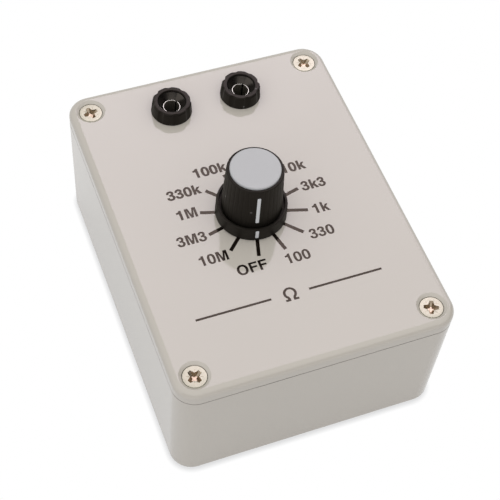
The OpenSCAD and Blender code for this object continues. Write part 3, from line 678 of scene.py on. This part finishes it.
dust, way_in, way_out = new_group(
    "settled_dust",
    {"Colour": (0, 0, 0, 1), "Dust": (0.2, 0.19, 0.18, 1), "Speck scale": 700.0, "Share": 0.1},
    {"Colour": "Color"},
)
where = add(dust, "TexCoord")
cells = add(dust, "TexVoronoi", {"Randomness": 1.0}, feature="F1")
dust.links.new(where.outputs["Object"], cells.inputs["Vector"])
dust.links.new(way_in.outputs["Speck scale"], cells.inputs["Scale"])
near = ramp(dust, cells.outputs["Distance"], *speck_edge, 1.0, 0.0)
pick = add(dust, "SeparateColor")
dust.links.new(cells.outputs["Color"], pick.inputs["Color"])
chosen = combined(dust, "LESS_THAN", pick.outputs[0], way_in.outputs["Share"])
speck = combined(dust, "MULTIPLY", near, chosen)
faded = combined(dust, "MULTIPLY", speck, pick.outputs[1])
dusted = add(dust, "Mix", data_type="RGBA")
dust.links.new(faded, dusted.inputs["Factor"])
dust.links.new(way_in.outputs["Colour"], dusted.inputs[6])
dust.links.new(way_in.outputs["Dust"], dusted.inputs[7])
dust.links.new(dusted.outputs[2], way_out.inputs["Colour"])


def add_dust(finish, scale, share):
    """Lays specks of dust over a material's colour."""
    tree = finish.node_tree
    shader = tree.nodes["Principled BSDF"]
    layer = add(tree, "Group", node_tree=dust)
    layer.inputs["Speck scale"].default_value = scale
    layer.inputs["Share"].default_value = share
    tree.links.new(tree.nodes["skin"].outputs["Colour"], layer.inputs["Colour"])
    tree.links.new(layer.outputs["Colour"], shader.inputs["Base Color"])


socket_rim = skinned("socket_rim", black_moulding, 0.003,
                     {"Specular IOR Level": 0.19, "Specular Tint": warm_gloss}, Clouding=0.3,
                     Cloud_scale=120, Roughness=0.34, Patchiness=0.16, Patch_scale=500, Grain_scale=2600)
add_dust(socket_rim, 900, 0.05)
socket_side = skinned("socket_side", black_moulding, 0.003,
                      {"Specular IOR Level": 0.2, "Specular Tint": warm_gloss}, Clouding=0.3,
                      Cloud_scale=120, Roughness=0.45, Patchiness=0.16, Patch_scale=500, Grain_scale=2600)
add_dust(socket_side, 900, 0.07)
socket_mouth = skinned("socket_mouth", (0.004, 0.0035, 0.003, 1), 0.001,
                       {"Specular IOR Level": 0.8, "Specular Tint": warm_gloss}, Clouding=0.3,
                       Cloud_scale=120, Roughness=0.2, Patchiness=0.06, Patch_scale=500, Grain_scale=2600)
sleeve_plate = skinned("sleeve_plate", (0.57, 0.57, 0.5, 1), 0.002, {"Metallic": 1.0}, Clouding=0.1,
                       Cloud_scale=500, Roughness=0.3, Patchiness=0.15, Patch_scale=1500, Grain_scale=4000)
sleeve_inside = skinned("sleeve_inside", (0.1, 0.088, 0.066, 1), 0.002, {"Metallic": 0.3}, Clouding=0.2,
                        Cloud_scale=500, Roughness=0.4, Patchiness=0.15, Patch_scale=1500, Grain_scale=4000)
for side, centre in sockets.items():
    seat = Matrix.Translation((centre.x, centre.y, lid_top))
    bm = bmesh.new()
    turned(bm, [(barrel_bore, -barrel_long, 0.1), (barrel_r, -barrel_long, 0.4), (barrel_r, -0.02),
                (5.6, 0), (5.7, 0.12), (5.4, wall_top, 0.2), (5.05, socket_high, 0.2),
                (mouth_r, socket_high, 0.2), (3.82, 3.5, 0.15), (throat_r, 1.77), (throat_r, 1.72),
                (barrel_bore, 1.71)], socket_steps)
    outer = [v for v in bm.verts if v.co.z > notch_low and math.hypot(v.co.x, v.co.y) > wall_from]
    scoop(outer, notch_count, math.radians(notch_turn[side]), notch_r, notch_reach)
    for face in bm.faces:
        middle = face.calc_center_median()
        if 0 < middle.z < wall_top and middle.xy.length > wall_from:
            face.material_index = 1
        elif middle.z > 0 and middle.xy.length < mouth_r:
            face.material_index = 2
    bmesh.ops.transform(bm, matrix=seat, verts=bm.verts[:])
    piece(bm, "socket_head_" + side, "case", ["socket_body_" + side], "black_plastic", socket_rim,
          socket_side, socket_mouth)

    top = span("socket_sleeve_" + side)[1].z - lid_top
    floor = top - sleeve_floor
    foot = floor - tail_web
    cup = foot - tail_solid
    bm = bmesh.new()
    turned(bm, [(0, floor), (0, cup), (tail_bore, cup), (tail_bore, cup - cup_deep),
                (tail_r, cup - cup_deep), (tail_r, foot), (sleeve_r, foot, 0.2),
                (sleeve_r, top - slit_long), (sleeve_r, top, 0.05),
                (sleeve_edge, top, 0.03), (sleeve_bore, top - 0.6), (sleeve_bore, top - slit_long),
                (sleeve_bore, floor)], sleeve_steps)
    gap = []
    for face in bm.faces:
        middle = face.calc_center_median()
        off = math.degrees(math.atan2(middle.y, middle.x))
        if abs(off) < slit_half and middle.z > top - slit_long and middle.xy.length > slit_from:
            gap.append(face)
    bmesh.ops.delete(bm, geom=gap, context="FACES")
    for hand in (-1, 1):
        edge_of = [v for v in bm.verts if v.is_boundary and abs(v.co.z - top + slit_long) < NEAR
                   and abs(math.degrees(math.atan2(v.co.y, v.co.x)) - hand * slit_half) < 1]
        bm.edges.new(edge_of)
    open_edges = [e for e in bm.edges if len(e.link_faces) < 2]
    bmesh.ops.edgenet_fill(bm, edges=open_edges, sides=0)
    for face in bm.faces:
        middle = face.calc_center_median()
        if middle.xy.length < sleeve_edge and floor - NEAR < middle.z < top - 0.05:
            face.material_index = 1
    bmesh.ops.rotate(bm, matrix=Matrix.Rotation(math.radians(slit_turn[side]), 3, "Z"), verts=bm.verts[:])
    bmesh.ops.transform(bm, matrix=seat, verts=bm.verts[:])
    piece(bm, "socket_spring_" + side, "case", ["socket_sleeve_" + side], "plated_brass", sleeve_plate,
          sleeve_inside)

# Selector knob: a tapered black grip with fine flutes over a black skirt that hides the bush nut.
# Both are satin mouldings on the collet, and a light grey cap is pressed into the grip's top.
grip_steps = 432
knob_steps = 192
flute_count = 36
flute_r = 0.5
flute_depth = 0.075
flute_from = 7.05
pointer_angle = -101.5
grip_foot = (8.15, 3.3)
grip_rim = (7.45, 18.0)
skirt_foot = (9.575, 0.3)
skirt_rim = (9.45, 4.5)
cap_r = 6.64
cap_top = 18.6
cap_grey = (0.508, 0.498, 0.478, 1)
axis_at = Matrix.Translation((selector.x, selector.y, lid_top))


def side_at(height, low, high):
    """Radius of a cone at a height, from two points of radius and height on it."""
    return low[0] + (high[0] - low[0]) * (height - low[1]) / (high[1] - low[1])


knob_black = skinned("knob_moulding", black_moulding, 0.004,
                     {"Specular IOR Level": 0.2, "Specular Tint": warm_gloss}, Clouding=0.3,
                     Cloud_scale=140, Roughness=0.5, Patchiness=0.14, Patch_scale=600, Grain_scale=2400)
add_dust(knob_black, 620, 0.035)

bm = bmesh.new()
turned(bm, [(7.88, 0.3), (*skirt_foot, 0.08), (*skirt_rim, 0.2), (8.75, 4.5, 0.1), (8.75, 3.3), (5.52, 3.3),
            (5.52, 2.7), (7.88, 2.7)], knob_steps)
bmesh.ops.transform(bm, matrix=axis_at, verts=bm.verts[:])
piece(bm, "knob_skirt_moulding", "selector", ["knob_skirt"], "black_plastic", knob_black)

bm = bmesh.new()
turned(bm, [(5.05, 2.7), (5.5, 2.7), (5.5, 3.3), (*grip_foot, 0.2), (*grip_rim, 0.3), (6.72, 18.0, 0.06),
            (6.72, 17.3), (6.35, 17.3), (6.35, 14.6), (2.6, 14.6), (2.6, 13.0), (4.475, 13.0), (4.475, 5.9),
            (5.05, 5.9)], grip_steps)
wall_verts = [v for v in bm.verts if math.hypot(v.co.x, v.co.y) > flute_from]
scoop(wall_verts, flute_count, math.radians(pointer_angle), flute_r,
      lambda height: side_at(height, grip_foot, grip_rim) + flute_r - flute_depth, bare=0)
bmesh.ops.transform(bm, matrix=axis_at, verts=bm.verts[:])
piece(bm, "knob_grip", "selector", ["knob_body"], "black_plastic", knob_black)

bm = bmesh.new()
turned(bm, [(0, 17.3), (5.63, 17.3), (5.63, 16.1), (6.33, 16.1, 0.1), (6.33, 17.3), (cap_r, 17.3),
            (cap_r, cap_top, 0.32), (0, cap_top)], knob_steps)
bmesh.ops.transform(bm, matrix=axis_at, verts=bm.verts[:])
cap_plastic = skinned("cap_moulding", cap_grey, 0.004, {"Specular IOR Level": 0.3}, Clouding=0.04,
                      Cloud_scale=160, Roughness=0.42, Patchiness=0.1, Patch_scale=600, Grain_scale=2200)
piece(bm, "knob_top_cap", "selector", ["knob_cap"], "cap_plastic", cap_plastic)

# Pointer: a line down the grip and a short tick on the skirt, moulded as white strips that fill
# slots in the black plastic and stand a hair proud of it.
pointer_w = 0.9
pointer_round = 0.28
inlay_depth = 0.4
inlay_proud = 0.03
inlay_edge = 0.05
strips = {(5.75, 15.5): (grip_foot, grip_rim), (1.2, 4.05): (skirt_foot, skirt_rim)}
bm = bmesh.new()
for low, high in strips:
    verts = bmesh.ops.create_cube(bm, size=1)["verts"]
    bmesh.ops.scale(bm, vec=(inlay_depth, pointer_w, high - low), verts=verts)
    bmesh.ops.translate(bm, vec=(0, 0, (low + high) / 2), verts=verts)
across = [e for e in bm.edges if abs(e.verts[0].co.x - e.verts[1].co.x) > NEAR]
round_over(bm, across, pointer_round, 4)
front = [e for e in bm.edges if all(v.co.x > 0 for v in e.verts)]
round_over(bm, front, inlay_edge, 2)
for vert in bm.verts:
    cone = [c for (low, high), c in strips.items() if low - NEAR < vert.co.z < high + NEAR][0]
    vert.co.x += side_at(vert.co.z, *cone) + inlay_proud - inlay_depth / 2
bmesh.ops.rotate(bm, matrix=Matrix.Rotation(math.radians(pointer_angle), 3, "Z"), verts=bm.verts[:])
bmesh.ops.transform(bm, matrix=axis_at, verts=bm.verts[:])
inlay = skinned("pointer_white", (0.70, 0.70, 0.69, 1), 0.004, Clouding=0.08, Cloud_scale=300,
                Roughness=0.4, Patchiness=0.12, Patch_scale=900, Grain_scale=2500)
piece(bm, "pointer_inlays", "selector", ["pointer_line", "pointer_tick"], "white_inlay", inlay)

# Parts inside the case and under the knob: the rotary switch, its nuts and washer, the collet, the
# wires and eleven lacquered resistors. They keep the CAD shapes and get their own finishes.
tin = (0.6, 0.58, 0.55, 1)
inner_finishes = {
    "plated_steel": nickel,
    "cast_metal": skinned("cast_metal", (0.42, 0.42, 0.43, 1), 0.02, {"Metallic": 1.0}, Clouding=0.2,
                          Cloud_scale=200, Roughness=0.5, Patchiness=0.2, Patch_scale=700,
                          Grain_scale=1500),
    "switch_moulding": skinned("switch_moulding", (0.15, 0.075, 0.035, 1), 0.006, Clouding=0.3,
                               Cloud_scale=250, Roughness=0.32, Patchiness=0.15, Patch_scale=500,
                               Grain_scale=2000),
    "steel": skinned("bright_steel", (0.56, 0.55, 0.54, 1), 0.002, {"Metallic": 1.0}, Clouding=0.1,
                     Cloud_scale=300, Roughness=0.25, Patchiness=0.15, Patch_scale=900, Grain_scale=3500),
    "brass": skinned("bright_brass", (0.68, 0.47, 0.17, 1), 0.002, {"Metallic": 1.0}, Clouding=0.15,
                     Cloud_scale=300, Roughness=0.28, Patchiness=0.15, Patch_scale=900, Grain_scale=3500),
    "tinned_wire": skinned("tinned_wire", tin, 0.004, {"Metallic": 1.0}, Clouding=0.15,
                           Cloud_scale=500, Roughness=0.38, Patchiness=0.2, Patch_scale=1200,
                           Grain_scale=3500),
    "red_insulation": skinned("red_insulation", (0.36, 0.014, 0.012, 1), 0.004, Clouding=0.15,
                              Cloud_scale=300, Roughness=0.35, Patchiness=0.1, Patch_scale=800,
                              Grain_scale=2500),
    "grey_insulation": skinned("grey_insulation", (0.1, 0.1, 0.105, 1), 0.004, Clouding=0.15,
                               Cloud_scale=300, Roughness=0.35, Patchiness=0.1, Patch_scale=800,
                               Grain_scale=2500),
}
band_colours = [(0.005, 0.005, 0.005, 1), (0.09, 0.03, 0.012, 1), (0.5, 0.012, 0.012, 1),
                (0.75, 0.16, 0.01, 1), (0.8, 0.55, 0.02, 1), (0.03, 0.25, 0.05, 1), (0.02, 0.06, 0.4, 1)]
lacquer_blue = (0.12, 0.3, 0.44, 1)
gold_band = (0.5, 0.33, 0.08, 1)
resistor_bands = {
    "resistor_10m": (1, 0, 6), "resistor_3m3": (3, 3, 5), "resistor_1m": (1, 0, 5),
    "resistor_330k": (3, 3, 4), "resistor_100k": (1, 0, 4), "resistor_33k": (3, 3, 3),
    "resistor_10k": (1, 0, 3), "resistor_3k3": (3, 3, 2), "resistor_1k": (1, 0, 2),
    "resistor_330r": (3, 3, 1), "resistor_100r": (1, 0, 1),
}
resistor_lead = 1.6
band_w = 0.6
band_step = 1.35
first_band = 1.1


def banded(node, bands):
    """Blue lacquer with coloured bands along the resistor's upright axis, and bare leads."""
    finish = skinned(node + "_finish", lacquer_blue, 0.01, Clouding=0.1, Cloud_scale=400, Roughness=0.28,
                     Patchiness=0.12, Patch_scale=900, Grain_scale=2500)
    tree = finish.node_tree
    shader = tree.nodes["Principled BSDF"]
    low, high = span(node)
    where = add(tree, "TexCoord")
    axes = add(tree, "SeparateXYZ")
    tree.links.new(where.outputs["Object"], axes.inputs[0])
    along = ramp(tree, axes.outputs["Z"], low.z * MM, high.z * MM)
    long = high.z - low.z
    lead_share = resistor_lead / long
    stops = [(0.0, tin), (lead_share, lacquer_blue)]
    for i, colour in enumerate([gold_band] + [band_colours[b] for b in reversed(bands)]):
        start = (resistor_lead + first_band + i * band_step) / long
        stops += [(start, colour), (start + band_w / long, lacquer_blue)]
    stops.append((1 - lead_share, tin))
    paint = add(tree, "ValToRGB")
    metal = add(tree, "ValToRGB")
    for node, marks in ((paint, stops), (metal, [(0.0, (1, 1, 1, 1)), (lead_share, (0, 0, 0, 1)),
                                                 (1 - lead_share, (1, 1, 1, 1))])):
        stripes = node.color_ramp
        stripes.interpolation = "CONSTANT"
        while len(stripes.elements) > 1:
            stripes.elements.remove(stripes.elements[-1])
        stripes.elements[0].position = 0
        stripes.elements[0].color = marks[0][1]
        for position, colour in marks[1:]:
            stripes.elements.new(position).color = colour
        tree.links.new(along, node.inputs["Fac"])
    tree.links.new(paint.outputs["Color"], tree.nodes["skin"].inputs["Colour"])
    tree.links.new(metal.outputs["Color"], shader.inputs["Metallic"])
    return finish


for part in frame["record"]["subparts"]:
    node = part["node"]
    obj = frame["nodes"][node]
    if obj.hide_render:
        continue
    if node in resistor_bands:
        finish = banded(node, resistor_bands[node])
    else:
        finish = inner_finishes[part["material_slot"]]
    obj.data.materials.clear()
    obj.data.materials.append(finish)

# Studio: a white table top that keeps the box's shade round its foot, and a white surround that is
# brighter overhead. Bright cards behind, dimmer towards the table, and a dark card in front show in
# reflections only, and one cool panel stands at the front left.
table_half = 1500
table_colour = (0.61, 0.605, 0.61, 1)
foot_shades = ((1.8, 0.62), (30, 0.7))
shade_open = (0.5, 0.95)
bright_cards = {(0.27, 0.505, 0.82): 300, (0.72, 0.52, 0.43): 420}
bright_away = 1200
bright_tint = (1.04, 0.93, 1.06, 1)
bright_back = (0.45, 0.8, 2.85, 4.1)
bright_low = (0.2, 0.88, 0.25, 1.0)
card_reach = 700
card_high = 430
card_from = 207
card_to = 372
panel_from = (-0.75, -0.62, 0.3)
panel_away = 800
panel_size = 0.3
panel_power = 0.4
panel_tint = (0.86, 0.96, 1.18)
sky_tint = (0.982, 1.0, 1.05, 1)
sky_top = (-0.1, -0.17, 0.98)
sky_light = (0.16, 1.26)
lid_middle = Vector((0, 0, lid_top))


def stand(bm, name, finish, mirrored_only):
    """Puts up a piece of the studio drawn in millimetres, which only reflections may see."""
    bmesh.ops.scale(bm, vec=(MM, MM, MM), verts=bm.verts[:])
    mesh = bpy.data.meshes.new(name)
    bm.to_mesh(mesh)
    bm.free()
    mesh.materials.append(finish)
    obj = bpy.data.objects.new(name, mesh)
    bpy.context.scene.collection.objects.link(obj)
    obj.visible_camera = not mirrored_only
    obj.visible_diffuse = not mirrored_only
    obj.visible_shadow = not mirrored_only


def ray_kinds(tree):
    """Values that are 1 for rays from the camera, and for rays that were mirrored or let through."""
    rays = add(tree, "LightPath")
    mirrored = combined(tree, "MAXIMUM", rays.outputs["Is Glossy Ray"], rays.outputs["Is Transmission Ray"])
    return rays.outputs["Is Camera Ray"], mirrored


def blended(tree, share, one, two, output):
    """Mixes two shaders by a share and sends them to an output node."""
    mixed = add(tree, "MixShader")
    tree.links.new(share, mixed.inputs[0])
    tree.links.new(one.outputs[0], mixed.inputs[1])
    tree.links.new(two.outputs[0], mixed.inputs[2])
    tree.links.new(mixed.outputs[0], tree.nodes[output].inputs["Surface"])


white = bpy.data.materials.new("table_white")
white.use_nodes = True
tree = white.node_tree
matt = tree.nodes["Principled BSDF"]
matt.inputs["Base Color"].default_value = table_colour
matt.inputs["Roughness"].default_value = 0.9
matt.inputs["Specular IOR Level"].default_value = 0.0
glow = add(tree, "Emission", {"Color": (1, 1, 1, 1), "Strength": 1.0})
shares = []
for kind, (reach, darkest) in zip(ray_kinds(tree), foot_shades):
    shade = add(tree, "AmbientOcclusion", {"Distance": reach * MM}, samples=16)
    clear = ramp(tree, shade.outputs["AO"], *shade_open, darkest, 1.0)
    shares.append(combined(tree, "MULTIPLY", kind, clear))
blended(tree, combined(tree, "MAXIMUM", *shares), matt, glow, "Material Output")
bm = bmesh.new()
bmesh.ops.create_grid(bm, x_segments=1, y_segments=1, size=table_half)
stand(bm, "table_top", white, False)

lit = bpy.data.materials.new("card_lit")
lit.use_nodes = True
tree = lit.node_tree
where = add(tree, "TexCoord")
axes = add(tree, "SeparateXYZ")
tree.links.new(where.outputs["Object"], axes.inputs[0])
strength = combined(tree, "MULTIPLY", ramp(tree, axes.outputs["Y"], *bright_back),
                    ramp(tree, axes.outputs["Z"], *bright_low))
glow = add(tree, "Emission", {"Color": bright_tint})
tree.links.new(strength, glow.inputs["Strength"])
tree.links.new(glow.outputs[0], tree.nodes["Material Output"].inputs["Surface"])
bm = bmesh.new()
for toward, half in bright_cards.items():
    outward = Vector(toward).normalized()
    place = Matrix.Translation(lid_middle + outward * bright_away)
    bmesh.ops.create_grid(bm, x_segments=1, y_segments=1, size=half,
                          matrix=place @ outward.to_track_quat("Z", "Y").to_matrix().to_4x4())
stand(bm, "bright_cards", lit, True)

dark = bpy.data.materials.new("card_black")
dark.use_nodes = True
dark.node_tree.nodes["Principled BSDF"].inputs["Base Color"].default_value = (0.03, 0.03, 0.03, 1)
dark.node_tree.nodes["Principled BSDF"].inputs["Roughness"].default_value = 0.9
bm = bmesh.new()
low = bm.verts.new((card_reach, 0, 0))
high = bm.verts.new((card_reach, 0, card_high))
bm.edges.new((low, high))
bmesh.ops.rotate(bm, matrix=Matrix.Rotation(math.radians(card_from), 3, "Z"), verts=bm.verts[:])
bmesh.ops.spin(bm, geom=bm.verts[:] + bm.edges[:], cent=(0, 0, 0), axis=(0, 0, 1),
               angle=math.radians(card_to - card_from), steps=24)
stand(bm, "dark_card", dark, True)

lamp = bpy.data.lights.new("front_left_panel", "AREA")
lamp.shape = "SQUARE"
lamp.size = panel_size
lamp.energy = panel_power
lamp.color = panel_tint
panel = bpy.data.objects.new("front_left_panel", lamp)
bpy.context.scene.collection.objects.link(panel)
panel.location = (lid_middle + Vector(panel_from).normalized() * panel_away) * MM
panel.rotation_euler = Vector(panel_from).to_track_quat("Z", "Y").to_euler()
panel.visible_camera = False

world = bpy.data.worlds.new("white_surround")
bpy.context.scene.world = world
world.use_nodes = True
tree = world.node_tree
surround = tree.nodes["Background"]
surround.inputs["Color"].default_value = sky_tint
where = add(tree, "TexCoord")
above = add(tree, "VectorMath", {1: sky_top}, operation="DOT_PRODUCT")
tree.links.new(where.outputs["Generated"], above.inputs[0])
tree.links.new(ramp(tree, above.outputs["Value"], 0.0, 1.0, *sky_light), surround.inputs["Strength"])
backdrop = add(tree, "Background", {"Color": (1, 1, 1, 1), "Strength": 1.0})
blended(tree, combined(tree, "MAXIMUM", *ray_kinds(tree)), surround, backdrop, "World Output")

# Camera: the photograph's view, from the front left and well above, with a slight tilt to the side.
eye = Vector((-91.79, -189.65, 321.23)) * MM
aim = Vector((-6.22, -13.47, 41)) * MM
roll = math.radians(6.587)
lens = bpy.data.cameras.new("camera")
lens.sensor_width = 36
lens.lens = 94.78
lens.clip_start = 0.01
camera = bpy.data.objects.new("camera", lens)
bpy.context.scene.collection.objects.link(camera)
camera.location = eye
facing = (aim - eye).to_track_quat("-Z", "Y") @ Quaternion((0, 0, 1), roll)
camera.rotation_euler = facing.to_euler()
bpy.context.scene.camera = camera
bpy.context.scene.view_settings.view_transform = "Standard"
